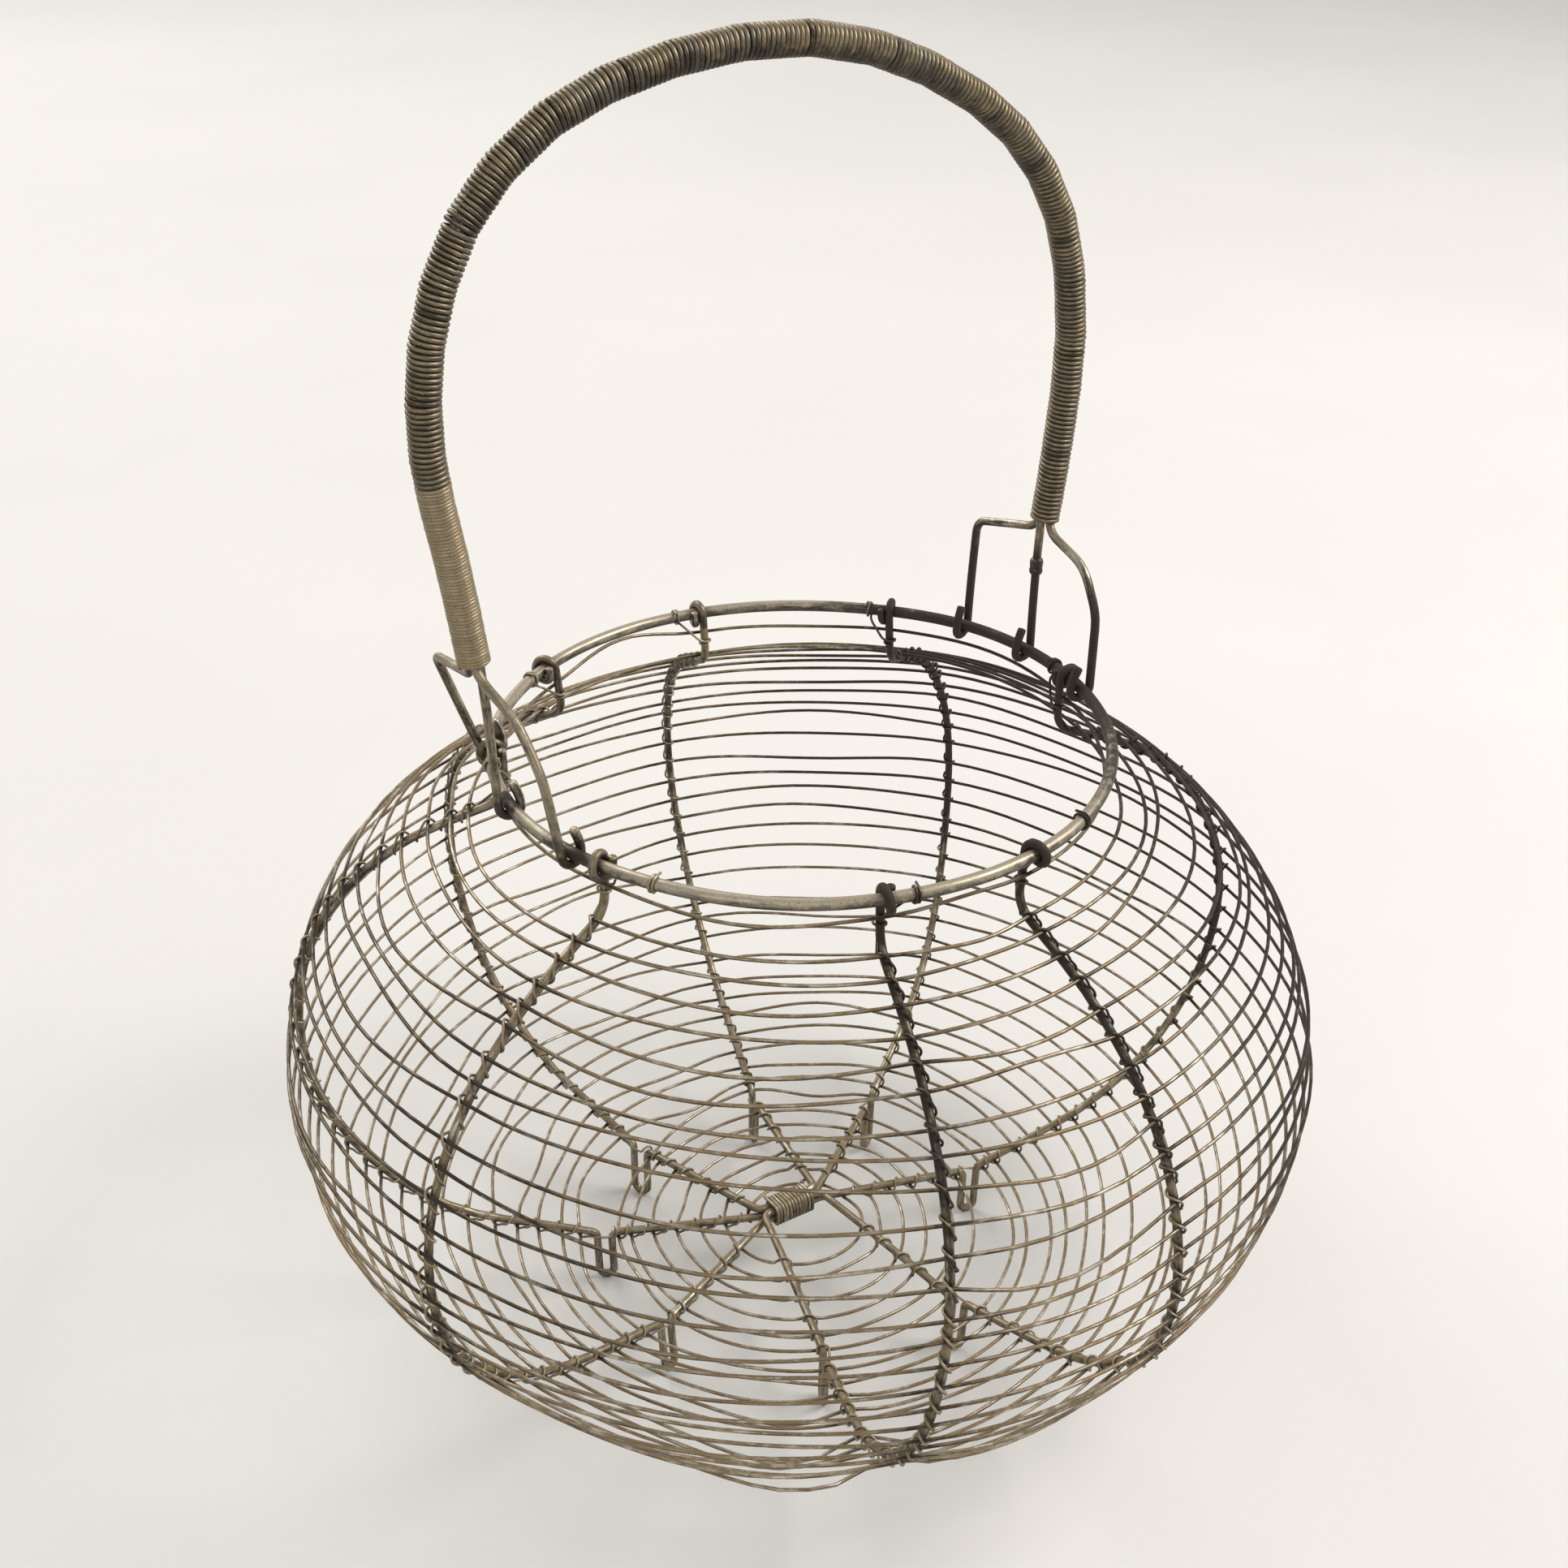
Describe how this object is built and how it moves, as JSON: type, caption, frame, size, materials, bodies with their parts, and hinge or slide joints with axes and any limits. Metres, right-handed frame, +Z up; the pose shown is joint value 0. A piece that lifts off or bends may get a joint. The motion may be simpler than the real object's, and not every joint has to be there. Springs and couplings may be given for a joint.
{
  "type": "wire egg collection basket",
  "caption": "Round bulging woven wire basket with a narrower open mouth, hairpin feet and a tall arched handle wrapped in fine wire, for gathering eggs.",
  "frame": {"origin": "on the basket's axis, in the plane that its feet stand on", "axes": "+Z up along the basket's axis; X along the span of the handle; Y across it, with the handle's arch slightly to the +Y side"},
  "size_m": [0.3172, 0.3172, 0.4034],
  "materials": {
    "rim_steel": "aged drawn steel rod, dull grey-brown patina with rubbed silvery highlights and dark rust near the joints",
    "rib_steel": "aged drawn steel wire, grey-brown patina, darker where the weft is lashed on",
    "weft_steel": "aged fine steel wire, dark brown patina with worn light streaks",
    "binding_steel": "aged fine binding wire, brown patina",
    "leg_steel": "aged drawn steel wire, grey-brown patina, rubbed bright along the outside of its bends",
    "wrap_steel": "close-wound fine steel wire, olive-brown patina with grime between the turns and darker bands"
  },
  "bodies": {
    "root": {"rib_wire_1": "rib_steel", "rib_wire_2": "rib_steel", "rib_wire_3": "rib_steel", "rib_wire_4": "rib_steel", "rim_ring": "rim_steel", "hub_binding": "binding_steel", "rib_lashing_1": "binding_steel", "rib_lashing_2": "binding_steel", "rib_lashing_3": "binding_steel", "rib_lashing_4": "binding_steel", "rib_lashing_5": "binding_steel", "rib_lashing_6": "binding_steel", "rib_lashing_7": "binding_steel", "rib_lashing_8": "binding_steel", "neck_strand": "weft_steel", "wall_weft_upper": "weft_steel", "wall_weft_belly": "weft_steel", "wall_weft_lower": "weft_steel", "base_weft": "weft_steel", "handle_core_back": "leg_steel", "handle_core_middle": "leg_steel", "handle_core_front": "leg_steel", "handle_wrap": "wrap_steel", "handle_splice": "leg_steel"}
  },
  "joints": []
}
